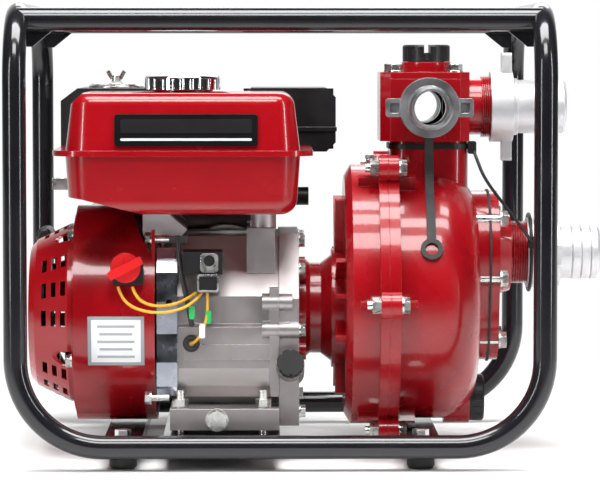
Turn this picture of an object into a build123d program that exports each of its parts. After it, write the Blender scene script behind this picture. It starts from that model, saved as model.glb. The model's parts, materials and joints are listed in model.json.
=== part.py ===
from build123d import *
import math
import os

# Portable fire pump in a tube frame: a petrol engine drives a self-priming pump.
# Millimetres. X runs along the crankshaft, from the recoil starter (-X) to the suction port (+X).
# Y runs from the operator's side (-Y) to the muffler (+Y). Z is up, and the feet stand on Z = 0.

# Frame
TUBE_R = 10.65
TUBE_BORE_R = 8.9
FRAME_LEFT_X = -263.6
FRAME_RIGHT_X = 210.7
FRAME_HALF_Y = 185.0
FRAME_LOW_Z = 21.8
FRAME_TOP_Z = 409.9
LOW_BEND_R = 78.0
ARCH_BEND_R = 62.0
TOP_BAR_Y = 148.0
TOP_BAR_Z = 405.0
PLATE_TOP_Z = 28.0
PLATE_T = 3.5
FOOT_XS = (-168.5, 100.5)
FOOT_Y = 161.5
FOOT_R = 12.5
FOOT_BOLT_R = 4.0

# Engine
CRANK_Y = -30.0
CRANK_Z = 135.0
BORE_X = -77.0
BORE_R = 34.0
THROW = 22.5
CYLINDER_TILT = 25.0
BASE_BOTTOM_Z = 31.5
BASE_TOP_Z = 51.0
BASE_BOLT_XS = (-117.5, -42.0)
BASE_BOLT_YS = (-125.0, 37.0)
CASE_LEFT_X = -126.0
CASE_RIGHT_X = -27.5
SIDE_COVER_X = -9.0
FAN_R = 101.0
FAN_Z = 131.0
FAN_LEFT_X = -215.5
FAN_RIGHT_X = -141.0
RECOIL_R = 84.0
RECOIL_END_R = 67.0
RECOIL_LEFT_X = -259.0
RECOIL_FOOT_X = FAN_LEFT_X - 2.0
RECOIL_BOLT_TURN = 27.0
SHEET_T = 1.6
TANK_SEAM_Z = 284.5
TANK_X = (-221.0, -8.0)
TANK_Y = (-165.0, 17.0)
TANK_T = 1.5
TANK_BOTTOM_Z = 229.0
POST_XS = (-142.0, -42.0)
POST_YS = (-78.0, 18.0)
POST_BOTTOM_ZS = (206.0, 213.9)
BOSS_Y = -112.0
BOSS_ZS = (121.0, 146.0)
FUEL_CAP_X = -116.3
FUEL_CAP_Y = -75.0
SWITCH_X = -167.0
SWITCH_Z = 180.0
SWITCH_FRONT_Y = -134.0
MUFFLER_X = (-62.0, 29.0)
MUFFLER_Y = (72.0, 186.0)
MUFFLER_Z = (279.0, 341.0)
CLEANER_X = (-236.0, -100.0)
CLEANER_Y = (34.0, 180.0)
WING_NUT_X = -186.0
WING_NUT_Y = 107.0
CHOKE_Y = 110.0
CHOKE_Z = 226.0
VALVE_Y = 124.0
VALVE_Z = 206.0

# Pump
SHAFT_R = 10.0
PUMP_Z = 148.0
FLANGE_BOLT_R = 140.0
FLANGE_RIM_R = 131.0
JOINT_X = 73.0
BOWL_R = 117.0
BOWL_END_X = 158.0
SUCTION_FACE_X = 168.0
SUCTION_Z = 187.4
DRAIN_Z = 50.0
FLAP_PIN_Z = 210.5
G2_R = 29.8
NECK_X = 111.5
NECK_Y = -30.0
BOX_X = (67.0, 150.0)
BOX_HALF_Y = 45.0
BOX_Z = (293.0, 351.0)
OUTLET_Z = 324.5
TAIL_2_R = 25.0
TAIL_2_BORE_R = 21.0
TAIL_1_R = 20.0
TAIL_1_BORE_R = 15.7
RUN_GAP = 0.05
TAIL_STEP = 0.6


def block(x, y, z):
    """A box from three (low, high) pairs."""
    size = [high - low for low, high in (x, y, z)]
    centre = [(high + low) / 2 for low, high in (x, y, z)]
    return Pos(*centre) * Box(*size)


def rod_x(x0, x1, y, z, r):
    return Pos((x0 + x1) / 2, y, z) * Rot(0, 90, 0) * Cylinder(r, abs(x1 - x0))


def rod_y(y0, y1, x, z, r):
    return Pos(x, (y0 + y1) / 2, z) * Rot(90, 0, 0) * Cylinder(r, abs(y1 - y0))


def rod_z(z0, z1, x, y, r):
    return Pos(x, y, (z0 + z1) / 2) * Cylinder(r, abs(z1 - z0))


def plate_yz(points, x0, x1):
    """A flat shape drawn in Y and Z, made solid from x0 to x1."""
    face = make_face(Polyline(*[(0, y, z) for y, z in points], close=True))
    return Pos(x0, 0, 0) * extrude(face, amount=x1 - x0, dir=(1, 0, 0))


def plate_xz(points, y0, y1):
    """A flat shape drawn in X and Z, made solid from y0 to y1."""
    face = make_face(Polyline(*[(x, 0, z) for x, z in points], close=True))
    return Pos(0, y0, 0) * extrude(face, amount=y1 - y0, dir=(0, 1, 0))


def plate_xy(points, z0, z1):
    """A flat shape drawn in X and Y, made solid from z0 to z1."""
    face = make_face(Polyline(*[(x, y, 0) for x, y in points], close=True))
    return Pos(0, 0, z0) * extrude(face, amount=z1 - z0, dir=(0, 0, 1))


def turned_x(points, y, z):
    """A solid of revolution about an X axis through (y, z): points are (x, radius)."""
    face = make_face(Polyline(*[(x, r, 0) for x, r in points], close=True))
    return Pos(0, y, z) * revolve(face, Axis.X)


def turned_z(points, x, y):
    """A solid of revolution about a Z axis through (x, y): points are (radius, z)."""
    face = make_face(Polyline(*[(r, 0, z) for r, z in points], close=True))
    return Pos(x, y, 0) * revolve(face, Axis.Z)


def hexagon_rod(length, across_flats):
    """A hexagonal bar along +Z from the origin."""
    return extrude(RegularPolygon(across_flats / 2, 6, major_radius=False), amount=length)


def joined(parts):
    """The parts fused into one shape."""
    whole = parts[0]
    for other in parts[1:]:
        whole += other
    return whole


def around(count, radius, y, z, start=0.0):
    """Evenly spaced (angle, y, z) points on a circle in the YZ plane."""
    spots = []
    for i in range(count):
        angle = start + 360.0 * i / count
        a = math.radians(angle)
        spots.append((angle, y + radius * math.cos(a), z + radius * math.sin(a)))
    return spots


def along(direction, place):
    """A location at place whose +Z points along direction."""
    return Location(Plane(origin=place, z_dir=direction))


def flange_bolt(size, shank, head_across):
    """A flange-head bolt: the head stands on Z = 0 and the shank runs down."""
    flange = Cylinder(head_across * 0.62, 1.6, align=(Align.CENTER, Align.CENTER, Align.MIN))
    head = Pos(0, 0, 1.6) * hexagon_rod(size * 0.72, head_across)
    stem = Cylinder(size / 2, shank, align=(Align.CENTER, Align.CENTER, Align.MAX))
    return flange + head + stem


def ribbon(points, thick):
    """The outline of a band of even thickness along a line of (y, z) points."""
    upper, lower = [], []
    for i, (y, z) in enumerate(points):
        y0, z0 = points[max(i - 1, 0)]
        y1, z1 = points[min(i + 1, len(points) - 1)]
        length = math.hypot(y1 - y0, z1 - z0)
        shift_y = -(z1 - z0) / length * thick / 2
        shift_z = (y1 - y0) / length * thick / 2
        upper.append((y + shift_y, z + shift_z))
        lower.append((y - shift_y, z - shift_z))
    return upper + lower[::-1]


def tube_path(points, radii):
    return FilletPolyline(*points, radius=radii)


def swept_tube(path, outer_r, inner_r=0.0):
    """A round bar, or a tube when inner_r is given, along a path."""
    section = Circle(outer_r)
    if inner_r:
        section -= Circle(inner_r)
    start = Plane(origin=path @ 0, z_dir=path % 0)
    return sweep(start * section, path=path)


# ---------------------------------------------------------------- frame


def frame_hoop(side):
    """One bent tube: mid-arch, down a post, along the floor, up the other post, mid-arch."""
    y = side * FRAME_HALF_Y
    path = tube_path(
        [
            (FRAME_LEFT_X, 0, FRAME_TOP_Z),
            (FRAME_LEFT_X, y, FRAME_TOP_Z),
            (FRAME_LEFT_X, y, FRAME_LOW_Z),
            (FRAME_RIGHT_X, y, FRAME_LOW_Z),
            (FRAME_RIGHT_X, y, FRAME_TOP_Z),
            (FRAME_RIGHT_X, 0, FRAME_TOP_Z),
        ],
        [ARCH_BEND_R, LOW_BEND_R, LOW_BEND_R, ARCH_BEND_R],
    )
    return swept_tube(path, TUBE_R, TUBE_BORE_R)


def arch_hole():
    """The space that the hoops take, for coping the tubes that meet them."""
    solids = []
    for side in (-1, 1):
        y = side * FRAME_HALF_Y
        for x in (FRAME_LEFT_X, FRAME_RIGHT_X):
            path = tube_path(
                [(x, 0, FRAME_TOP_Z), (x, y, FRAME_TOP_Z), (x, y, 150)],
                [ARCH_BEND_R],
            )
            solids.append(swept_tube(path, TUBE_R))
    return joined(solids)


def top_bars(arches):
    """Two carrying bars coped to the arches, with a weld gusset under each end."""
    bars = []
    for side in (-1, 1):
        y = side * TOP_BAR_Y
        bar = rod_x(FRAME_LEFT_X, FRAME_RIGHT_X, y, TOP_BAR_Z, TUBE_R)
        bar -= rod_x(FRAME_LEFT_X, FRAME_RIGHT_X, y, TOP_BAR_Z, TUBE_BORE_R)
        for x, inward in ((FRAME_LEFT_X, 1), (FRAME_RIGHT_X, -1)):
            low = TOP_BAR_Z - TUBE_R - 14
            corner = [
                (x + inward * 5, TOP_BAR_Z - TUBE_R + 0.5),
                (x + inward * 5, low),
                (x + inward * 14, low),
                (x + inward * 32, TOP_BAR_Z - TUBE_R + 0.5),
            ]
            bar += plate_xz(corner, y - 2, y + 2)
        bars.append(largest(bar - arches))
    return Compound(children=bars)


def largest(shape):
    """The biggest solid of a cut shape, without the slivers that a cope leaves."""
    return max(shape.solids(), key=lambda solid: solid.volume)


def floor_plate(x0, x1, hole_xs, hole_ys, hole_r, turned_edge):
    """A pressed plate between the bottom tubes, with its long edges turned down."""
    half = FRAME_HALF_Y + TUBE_R - 4
    plate = block((x0, x1), (-half, half), (PLATE_TOP_Z - PLATE_T, PLATE_TOP_Z))
    for x in (x0 + PLATE_T / 2, x1 - PLATE_T / 2):
        plate += block(
            (x - PLATE_T / 2, x + PLATE_T / 2),
            (-half, half),
            (PLATE_TOP_Z - turned_edge, PLATE_TOP_Z - PLATE_T / 2),
        )
    for side in (-1, 1):
        plate -= rod_x(x0 - 1, x1 + 1, side * FRAME_HALF_Y, FRAME_LOW_Z, TUBE_R)
    for x in hole_xs:
        for y in hole_ys:
            plate -= rod_z(PLATE_TOP_Z - 20, PLATE_TOP_Z + 1, x, y, hole_r)
    return largest(plate)


def cross_plates():
    """The two plates that carry the feet."""
    plates = []
    for foot_x in FOOT_XS:
        hole_ys = (-FOOT_Y, FOOT_Y)
        plates.append(floor_plate(foot_x - 17, foot_x + 17, (foot_x,), hole_ys, 4.5, 12))
    low_bolts = [y for angle, y, z in around(6, FLANGE_BOLT_R, CRANK_Y, PUMP_Z) if z < 50]
    for y in low_bolts:
        plates[1] -= block((FOOT_XS[1] - 18, FOOT_XS[1]), (y - 13, y + 13), (0, 40))
    return Compound(children=[largest(plate) for plate in plates])


def engine_mount_plate():
    centre = sum(BASE_BOLT_XS) / 2
    half = 53.0
    return floor_plate(centre - half, centre + half, BASE_BOLT_XS, BASE_BOLT_YS, 4.5, 14)


def rubber_feet():
    feet = []
    top = PLATE_TOP_Z - PLATE_T
    for x in FOOT_XS:
        for y in (-FOOT_Y, FOOT_Y):
            foot = turned_z([(0, 0), (10.5, 0), (FOOT_R, 3), (FOOT_R, top), (0, top)], x, y)
            foot -= rod_z(6, top + 1, x, y, FOOT_BOLT_R + 0.01)
            foot -= rod_x(x - 20, x + 20, math.copysign(FRAME_HALF_Y, y), FRAME_LOW_Z, TUBE_R + 0.2)
            feet.append(foot)
    return Compound(children=feet)


def base_bolts():
    """Foot bolts with heads on the plates, and the engine's base studs with nuts."""
    bolts = []
    for x in FOOT_XS:
        for y in (-FOOT_Y, FOOT_Y):
            bolts.append(Pos(x, y, PLATE_TOP_Z) * flange_bolt(8, 20, 13))
    for x in BASE_BOLT_XS:
        for y in BASE_BOLT_YS:
            stud = rod_z(PLATE_TOP_Z - PLATE_T - 8, BASE_TOP_Z + 16, x, y, 4)
            nut = Pos(x, y, BASE_TOP_Z) * hexagon_rod(8, 13)
            washer = rod_z(PLATE_TOP_Z - PLATE_T - 1.6, PLATE_TOP_Z - PLATE_T, x, y, 8.5)
            bolts.append(stud + nut + washer)
    return Compound(children=bolts)



# --------------------------------------------------------------- engine


def cylinder_frame():
    """The cylinder's axis starts on the crank and leans up and back."""
    tilt = math.radians(CYLINDER_TILT)
    return along((0, math.cos(tilt), math.sin(tilt)), (BORE_X, CRANK_Y, CRANK_Z))


def crankcase():
    """The cast case with its foot, crank chamber, cylinder barrel and cooling fins."""
    outline = [(-94, 50), (-106, 59), (-113, 70), (-116, 86), (-116, 124), (-113, 127), (-112, 152)]
    outline += [(-82, 206), (34, 206), (52, 180), (52, 50)]
    case = plate_yz(outline, CASE_LEFT_X, CASE_RIGHT_X)
    case += block((-127, CASE_RIGHT_X), (-138, 50), (BASE_BOTTOM_Z, BASE_TOP_Z))
    for y in POST_YS:
        case += block((-148, -112), (y - 11, y + 11), (199.5, POST_BOTTOM_ZS[0]))
        case += block((-57, -31), (y - 24, y + 11), (173, POST_BOTTOM_ZS[1]))
    case += block((-114, -36), (-117.2, -105), (94, 108))
    case += block((-36, CASE_RIGHT_X), (-118.5, -105), (60, 160))
    for z in BOSS_ZS:
        case += rod_x(-43, CASE_RIGHT_X, BOSS_Y, z, 8.5)
    barrel = Cylinder(42, 155, align=(Align.CENTER, Align.CENTER, Align.MIN))
    for i in range(7):
        fin = Box(104, 92, 2.2)
        barrel += Pos(0, 0, 92 + 9 * i) * fin
    case += cylinder_frame() * barrel
    case -= cylinder_frame() * Pos(0, 0, 30) * Cylinder(
        BORE_R, 130, align=(Align.CENTER, Align.CENTER, Align.MIN)
    )
    chamber = [(-100, 62), (-100, 150), (-74, 194), (30, 194), (30, 62)]
    case -= plate_yz(chamber, -118, CASE_RIGHT_X + 1)
    case -= filler_frame() * Pos(0, 0, -10) * Cylinder(13.2, 60)
    case -= rod_x(CASE_LEFT_X - 1, -117, CRANK_Y, CRANK_Z, 12.5 + RUN_GAP)
    for x in BASE_BOLT_XS:
        for y in BASE_BOLT_YS:
            case -= rod_z(BASE_BOTTOM_Z - 1, BASE_TOP_Z + 1, x, y, 4.01)
            case -= rod_z(BASE_TOP_Z, BASE_TOP_Z + 18, x, y, 9.5)
    for y, z in side_bolt_places():
        case -= rod_x(SIDE_COVER_X - 25, CASE_RIGHT_X + 1, y, z, 3.01)
    drain = along((0, -1, 0), (-84, -138, 41))
    case -= drain * Pos(0, 0, -16) * Cylinder(6.01, 40)
    return largest(case)


def side_cover():
    """The power take-off side's cover, with the bearing boss and the filler boss."""
    outline = [(-116, 33), (-116, 150), (-82, 208), (34, 208), (52, 180), (52, 33)]
    cover = plate_yz(outline, CASE_RIGHT_X, SIDE_COVER_X)
    hollow = [(-98, 64), (-98, 148), (-72, 190), (28, 190), (28, 64)]
    cover -= plate_yz(hollow, CASE_RIGHT_X - 1, SIDE_COVER_X - 5)
    cover += rod_x(CASE_RIGHT_X, SIDE_COVER_X, CRANK_Y, CRANK_Z, 32)
    cover -= rod_x(CASE_RIGHT_X - 1, SIDE_COVER_X + 1, CRANK_Y, CRANK_Z, SHAFT_R + 2.5 + RUN_GAP)
    boss = filler_frame() * Pos(0, 0, -10) * Cylinder(13, 32)
    cover += boss - block((-60, SIDE_COVER_X - 3), (-97, 0), (60, 120))
    cover -= filler_frame() * Pos(0, 0, -10) * Cylinder(9, 60)
    for z, x1 in zip(BOSS_ZS, (SIDE_COVER_X, SIDE_COVER_X - 6)):
        cover += rod_x(CASE_RIGHT_X, x1, BOSS_Y, z, 8.5)
    for y, z in side_bolt_places():
        cover -= rod_x(CASE_RIGHT_X - 1, SIDE_COVER_X + 1, y, z, 3.01)
    return largest(cover)


def filler_frame():
    return along((0, -0.94, 0.34), (-17, -118, 88))


def side_bolt_places():
    return [(-109, 46), (BOSS_Y, BOSS_ZS[0]), (-94, 176), (-60, 200), (20, 200), (44, 130), (44, 46)]


def oil_dipstick():
    """The filler cap with its dipstick."""
    frame = filler_frame()
    cap = Pos(0, 0, 6) * Cylinder(12.5, 9, align=(Align.CENTER, Align.CENTER, Align.MIN))
    for angle, y, z in around(8, 13.0, 0, 0):
        cap -= Pos(y, z, 10) * Cylinder(1.8, 12)
    plug = Cylinder(8.9, 20, align=(Align.CENTER, Align.CENTER, Align.MAX))
    stick = Pos(0, 0, -14) * Cylinder(2, 26, align=(Align.CENTER, Align.CENTER, Align.MAX))
    neck = Cylinder(8.9, 7, align=(Align.CENTER, Align.CENTER, Align.MIN))
    return frame * (cap + plug + neck + stick)


def oil_drain_plug():
    plug = flange_bolt(12, 14, 17)
    return along((0, -1, 0), (-84, -138, 41)) * plug


def engine_bolts():
    """M6 flange bolts of the side cover, fan housing and recoil cover."""
    bolts = []
    for y, z in side_bolt_places():
        bolts.append(along((1, 0, 0), (SIDE_COVER_X, y, z)) * flange_bolt(6, 24, 10))
    for angle, y, z in recoil_bolt_places():
        bolts.append(along((-1, 0, 0), (RECOIL_FOOT_X, y, z)) * flange_bolt(6, 10, 10))
    for y, z in fan_bolt_places():
        bolts.append(along((-1, 0, 0), (FAN_RIGHT_X - 3, y, z)) * flange_bolt(6, 16, 10))
    return Compound(children=bolts)


def recoil_bolt_places():
    return around(4, RECOIL_R + 2, CRANK_Y, FAN_Z, RECOIL_BOLT_TURN)


def fan_bolt_places():
    return [(-108, 205), (-126, 60)]


def crankshaft():
    """Crankshaft with two webs, a crank pin, the flywheel end and the pump end."""
    shaft = rod_x(-205, -95, CRANK_Y, CRANK_Z, 12.5)
    shaft += rod_x(-62, SIDE_COVER_X + 2, CRANK_Y, CRANK_Z, SHAFT_R + 2.5)
    shaft += rod_x(SIDE_COVER_X, 92, CRANK_Y, CRANK_Z, SHAFT_R)
    tilt = math.radians(CYLINDER_TILT)
    pin_y = CRANK_Y + THROW * math.cos(tilt)
    pin_z = CRANK_Z + THROW * math.sin(tilt)
    shaft += rod_x(-94, -60, pin_y, pin_z, 15)
    for x0 in (-101, -63):
        web = Box(10, 44, 78)
        web = Pos(x0 + 5, CRANK_Y, CRANK_Z) * Rot(CYLINDER_TILT - 90, 0, 0) * web
        shaft += web
    return largest(shaft)


def flywheel():
    """The finned flywheel that blows air over the cylinder."""
    wheel = turned_x(
        [(-208, 12.5), (-208, 30), (-184, 34), (-184, 82)]
        + [(-163, 82), (-163, 76), (-172, 70), (-172, 12.5)],
        CRANK_Y,
        CRANK_Z,
    )
    fin = Pos(-192, CRANK_Y, CRANK_Z) * Pos(0, 0, 64) * Box(18, 3, 26)
    for i in range(16):
        turn = Pos(0, CRANK_Y, CRANK_Z) * Rot(22.5 * i, 0, 0) * Pos(0, -CRANK_Y, -CRANK_Z)
        wheel += turn * fin
    return largest(wheel)


def piston():
    """The piston at the top of its stroke."""
    crown = Cylinder(BORE_R - RUN_GAP, 46, align=(Align.CENTER, Align.CENTER, Align.MIN))
    crown -= Pos(0, 0, -1) * Cylinder(28, 38, align=(Align.CENTER, Align.CENTER, Align.MIN))
    for z in (40.5, 36.5, 31.5):
        ring = Cylinder(BORE_R + 1, 1.5, align=(Align.CENTER, Align.CENTER, Align.MIN))
        ring -= Cylinder(BORE_R - 2, 1.5, align=(Align.CENTER, Align.CENTER, Align.MIN))
        crown -= Pos(0, 0, z) * ring
    return cylinder_frame() * Pos(0, 0, 106) * crown


def cylinder_head():
    head = Pos(0, 0, 155) * Box(106, 96, 30, align=(Align.CENTER, Align.CENTER, Align.MIN))
    head -= Pos(0, 0, 154) * Cylinder(30, 7, align=(Align.CENTER, Align.CENTER, Align.MIN))
    for z in (161, 168, 175):
        for x in (-50, 50):
            head -= Pos(x, 0, z) * Box(12, 120, 4)
    head -= head_plug_hole()
    head = cylinder_frame() * head
    head += block((BORE_X - 30, BORE_X - 4), (70, 100), (248, 262))
    return largest(head)


def head_plug_hole():
    return Pos(30, 48, 170) * Rot(-90, 0, 0) * Cylinder(7.05, 44)


def spark_plug():
    """The spark plug with its black boot."""
    plug = Pos(30, 48, 170) * Rot(-90, 0, 0)
    body = Cylinder(7, 20, align=(Align.CENTER, Align.CENTER, Align.MAX))
    body += hexagon_rod(8, 18)
    body += Pos(0, 0, 8) * Cylinder(9, 24, align=(Align.CENTER, Align.CENTER, Align.MIN))
    return cylinder_frame() * plug * body


def rocker_cover():
    cover = Pos(0, 0, 185) * Box(72, 78, 26, align=(Align.CENTER, Align.CENTER, Align.MIN))
    cover = fillet(cover.edges().group_by(Axis.Z)[-1], 8)
    cover += Pos(0, 0, 185) * Box(84, 90, 4, align=(Align.CENTER, Align.CENTER, Align.MIN))
    cover -= Pos(0, 0, 184) * Box(66, 72, 24, align=(Align.CENTER, Align.CENTER, Align.MIN))
    return cylinder_frame() * cover


def fan_outline(inset):
    """The fan housing's outline: a drum round the flywheel with a duct over the cylinder."""
    drum = rod_x(FAN_LEFT_X + inset, FAN_RIGHT_X, CRANK_Y, FAN_Z, FAN_R - inset)
    duct = [(-30 + inset, 170), (50, 130 + inset), (78 - inset, 145), (78 - inset, 226 - inset)]
    duct += [(60, 232 - inset), (-30 + inset, 232 - inset)]
    return drum + plate_yz(duct, FAN_LEFT_X + 12 + inset, FAN_RIGHT_X)


def blower_housing():
    """The pressed steel fan housing, open towards the cylinder and behind the starter."""
    housing = fan_outline(0.0)
    slope = [(-167, 240), (-154, 205), (-140.9, 186), (-130, 186), (-130, 240)]
    housing -= plate_xz(slope, -140, 60)
    inner = Pos(0.2, 0, 0) * fan_outline(SHEET_T)
    inner -= plate_xz([(-168.6, 240), (-155.8, 205), (-143, 186), (-120, 186), (-120, 240)], -140, 60)
    housing -= inner
    housing += block((FAN_RIGHT_X - 3, FAN_RIGHT_X), (-134, -116), (50, 70))
    housing += block((FAN_RIGHT_X - 3, FAN_RIGHT_X), (-116, -98), (184, 213)) - rod_x(
        FAN_LEFT_X, 0, CRANK_Y, FAN_Z, FAN_R - 2
    )
    housing -= rod_x(FAN_LEFT_X - 1, FAN_LEFT_X + 5, CRANK_Y, FAN_Z, 66)
    for angle, y, z in recoil_bolt_places():
        housing -= rod_x(FAN_LEFT_X - 1, FAN_LEFT_X + 3, y, z, 3.01)
    for y, z in fan_bolt_places():
        housing -= rod_x(FAN_RIGHT_X - 6, FAN_RIGHT_X + 1, y, z, 3.01)
    return largest(housing)


def slot(length, width, depth):
    """A long hole with round ends, length along Z and depth along Y."""
    body = Box(width, depth, length - width)
    for end in (-1, 1):
        body += Pos(0, 0, end * (length - width) / 2) * Rot(90, 0, 0) * Cylinder(width / 2, depth)
    return body


def recoil_cover():
    """The starter's pan with three rows of air slots and a scallop over each bolt."""
    outer = [(FAN_LEFT_X, 0), (FAN_LEFT_X, RECOIL_R), (-222, RECOIL_R), (-253, RECOIL_END_R + 2)]
    outer += [(RECOIL_LEFT_X, RECOIL_END_R - 5), (RECOIL_LEFT_X, 0)]
    inner = [(FAN_LEFT_X + 1, 0), (FAN_LEFT_X + 1, RECOIL_R - 2), (-222, RECOIL_R - 2)]
    inner += [(-252, RECOIL_END_R), (RECOIL_LEFT_X + 2, RECOIL_END_R - 7), (RECOIL_LEFT_X + 2, 0)]
    pan = turned_x(outer, CRANK_Y, FAN_Z)
    pan += turned_x(
        [(FAN_LEFT_X, 76), (FAN_LEFT_X, RECOIL_R + 9), (RECOIL_FOOT_X, RECOIL_R + 9), (RECOIL_FOOT_X, 76)],
        CRANK_Y,
        FAN_Z,
    )
    pan -= turned_x(inner, CRANK_Y, FAN_Z)
    slope = (RECOIL_R - RECOIL_END_R) / 31
    for turn in range(-180, 180, 20):
        from_bolt = (turn - RECOIL_BOLT_TURN + 45) % 90 - 45
        if abs(from_bolt) < 12:
            continue
        a = math.radians(turn)
        for row, x in enumerate((-226, -235, -244)):
            r = RECOIL_R + (x + 222) * slope
            cut = slot(19 - 2 * row, 4.5, 14)
            pan -= Pos(x, CRANK_Y + r * math.cos(a), FAN_Z + r * math.sin(a)) * Rot(turn + 90, 0, 0) * cut
    for angle, y, z in recoil_bolt_places():
        pan -= Pos(-240, y, z) * Rot(0, 90, 0) * Cylinder(9, 45)
        a = math.radians(angle)
        pan += rod_x(RECOIL_FOOT_X, FAN_LEFT_X, y - 3 * math.cos(a), z - 3 * math.sin(a), 11)
        pan -= rod_x(FAN_LEFT_X - 5, FAN_LEFT_X + 1, y, z, 3.01)
    for i in range(12):
        a = 30 * i
        window = Pos(RECOIL_LEFT_X, CRANK_Y, FAN_Z) * Rot(a, 0, 0) * Pos(0, 0, 45) * Box(8, 5, 22)
        pan -= window
    pan -= rope_frame() * Pos(0, 0, -12) * Cylinder(4, 40)
    pan += rod_x(RECOIL_LEFT_X + 1, RECOIL_LEFT_X + 16, CRANK_Y, CRANK_Z, 7)
    return largest(pan)


def rope_frame():
    """Where the rope leaves the recoil cover, pointing the way it is pulled."""
    return along((-0.50, 0.30, 0.81), (-243, 22, 183))


def recoil_pulley():
    """The rope reel that turns on the post inside the recoil cover."""
    reel = turned_x(
        [(-254, 7.1), (-254, 48), (-252, 48), (-250, 40), (-246, 40), (-244, 48), (-242, 48), (-242, 7.1)],
        CRANK_Y,
        CRANK_Z,
    )
    return reel


def starter_grip():
    """The T grip on the rope, resting on its guide, with its bar along Y."""
    stem = Pos(0, 0, 5.5) * Cylinder(6, 8, align=(Align.CENTER, Align.CENTER, Align.MIN))
    bar = fillet(Cylinder(8, 54).edges(), 4)
    bar = Pos(-251, 37, 200) * Rot(90, 0, 0) * bar
    return largest(rope_frame() * stem + bar)


def side_plate():
    """The plated steel shroud between the fan housing and the crankcase."""
    outline = [(-118, 66), (-118, 90), (-116, 120), (-118, 150), (-108, 190), (-100, 196), (50, 199)]
    outline += [(56, 190), (56, 58), (-104, 58)]
    plate = plate_yz(outline, -134, -132)
    lip = [(-107, 59), (-115, 62), (-120, 70), (-121, 92)]
    lip += [(-119, 118), (-121, 148), (-117, 174), (-106, 196)]
    plate += plate_yz(ribbon(lip, 2.0), -139.5, -120.5)
    plate -= rod_x(-140, -131, CRANK_Y, CRANK_Z, 30)
    plate -= rod_y(-130, -110, -128, 147, 3)
    return largest(plate)


def tank_posts():
    """Posts that carry the fuel tank on the crankcase: the left pair reach out on an arm."""
    top = TANK_BOTTOM_Z - 0.5
    bottom = POST_BOTTOM_ZS[0] + 0.1
    arm = [(-153, bottom), (-117, bottom), (-112, 212), (-131, top), (-153, top)]
    posts = []
    for y in POST_YS:
        posts.append(plate_xz(arm, y - 11, y + 11))
        post = rod_z(POST_BOTTOM_ZS[1], top, POST_XS[1], y, 11)
        posts.append(post + block((-54, -34), (y - 4, y + 11), (POST_BOTTOM_ZS[1], 220)))
    return Compound(children=posts)


def tank_block(inset):
    """The tank's outer shape, or its inner space when inset is the wall."""
    centre_x = sum(TANK_X) / 2
    centre_y = sum(TANK_Y) / 2
    width = TANK_X[1] - TANK_X[0] - 2 * inset
    depth = TANK_Y[1] - TANK_Y[0] - 2 * inset
    outline = RectangleRounded(width, depth, 24 - inset)
    top = extrude(outline, amount=54.4 - inset, taper=7)
    top = fillet(top.edges().group_by(Axis.Z)[-1], 12 - inset)
    low = extrude(outline, amount=-(TANK_SEAM_Z - TANK_BOTTOM_Z - inset), taper=4)
    low = fillet(low.edges().group_by(Axis.Z)[0], 14 - inset)
    whole = Pos(centre_x, centre_y, TANK_SEAM_Z) * (top + low)
    rise = [(-250, 249 + inset), (-205, 243 + inset), (-146, 228 + inset), (-250, 228)]
    whole -= plate_xz(rise, TANK_Y[0] - 1, TANK_Y[1] + 1)
    shift = 1.36 * inset
    slope = [(-240, 306 - shift), (-194, 348.6 - shift), (-240, 348.6)]
    return whole - plate_xz(slope, TANK_Y[0] - 1, TANK_Y[1] + 1)


def fuel_tank():
    """The pressed tank: two halves joined at a rolled seam, with the filler's pocket."""
    tank = tank_block(0.0)
    centre = Pos(sum(TANK_X) / 2, sum(TANK_Y) / 2, TANK_SEAM_Z - 2.5)
    lip = RectangleRounded(TANK_X[1] - TANK_X[0] + 23, TANK_Y[1] - TANK_Y[0] + 8, 30)
    tank += centre * extrude(lip, amount=5)
    pocket = [(-160, -150), (-72, -150), (-80, -34), (-152, -34)]
    tank -= plate_xy(pocket, 333.5, 345)
    tank -= tank_block(TANK_T) - plate_xy([(-164, -154), (-68, -154), (-76, -30), (-156, -30)], 331, 345)
    tank += rod_z(325, 341, FUEL_CAP_X, FUEL_CAP_Y, 28)
    tank -= rod_z(315, 342, FUEL_CAP_X, FUEL_CAP_Y, 26)
    return largest(tank)


def fuel_cap():
    """The chromed cap: a fluted skirt over the filler neck."""
    cap = rod_z(341.1, 354, FUEL_CAP_X, FUEL_CAP_Y, 35)
    cap = fillet(cap.edges().group_by(Axis.Z)[-1], 3)
    for i in range(24):
        a = math.radians(15 * i)
        cap -= rod_z(340, 351, FUEL_CAP_X + 36.6 * math.cos(a), FUEL_CAP_Y + 36.6 * math.sin(a), 2.6)
    cap += rod_z(333, 342, FUEL_CAP_X, FUEL_CAP_Y, 25.9)
    return cap


def muffler():
    """The silencer box with its baffle, on the exhaust elbow from the cylinder head."""
    y0, y1 = MUFFLER_Y
    z0, z1 = MUFFLER_Z
    body = block(MUFFLER_X, MUFFLER_Y, MUFFLER_Z)
    body = chamfer(body.edges().filter_by(Axis.Y), 9)
    body -= block((MUFFLER_X[0] + 2, MUFFLER_X[1] - 2), (y0 + 2, y1 - 2), (z0 + 11, z1 - 11))
    body += block((MUFFLER_X[0] + 1, MUFFLER_X[1] - 1), (128, 129.5), (z0 + 1, z1 - 1))
    body += block((-63, 30), (y0 - 1.5, y0 + 0.1), (z0 + 20, z0 + 24))
    body += rod_y(y1 - 1, y1 + 7, 8, 312, 11)
    body -= rod_y(y1 - 4, y1 + 9, 8, 312, 9)
    body += rod_z(262.5, z0 + 4, -45, 96, 14)
    body -= rod_z(261, z0 + 14, -45, 96, 11)
    body += block((-66, -24), (84, 108), (262.2, 267))
    body -= rod_z(261, 269, -45, 96, 11)
    return largest(body)


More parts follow.
